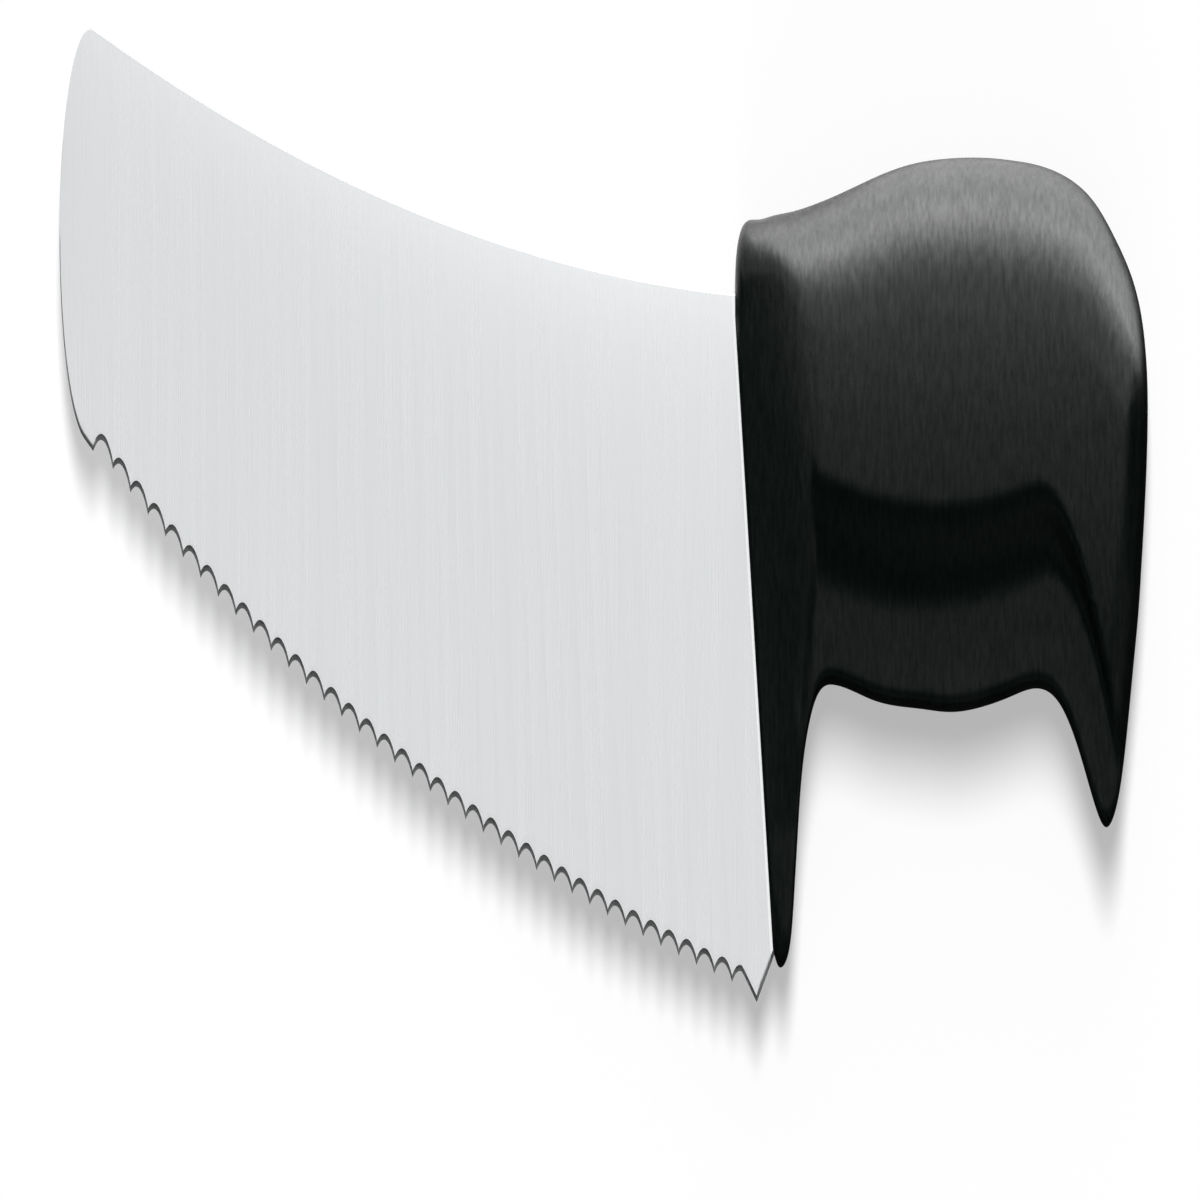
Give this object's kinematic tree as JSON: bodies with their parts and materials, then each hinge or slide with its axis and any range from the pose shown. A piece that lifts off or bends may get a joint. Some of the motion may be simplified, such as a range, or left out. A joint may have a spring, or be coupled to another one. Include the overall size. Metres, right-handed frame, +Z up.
{
  "type": "serrated utility knife",
  "caption": "Long kitchen slicer: a round-tipped steel blade with a scalloped edge and a heel tooth, in a moulded black handle with a finger guard and a beaked butt.",
  "frame": {"origin": "the middle of the knife's box at its base, on the surface that the knife lies on", "axes": "+X along the knife from the tip to the butt, +Y from the cutting edge to the spine, +Z up from the surface, square to the blade's middle plane"},
  "size_m": [0.4058, 0.0544, 0.0242],
  "materials": {
    "steel": "fine satin grind, running across the blade from spine to edge",
    "plastic": "satin black with a fine moulded grain"
  },
  "bodies": {
    "root": {"blade": "steel", "handle": "plastic"}
  },
  "joints": []
}
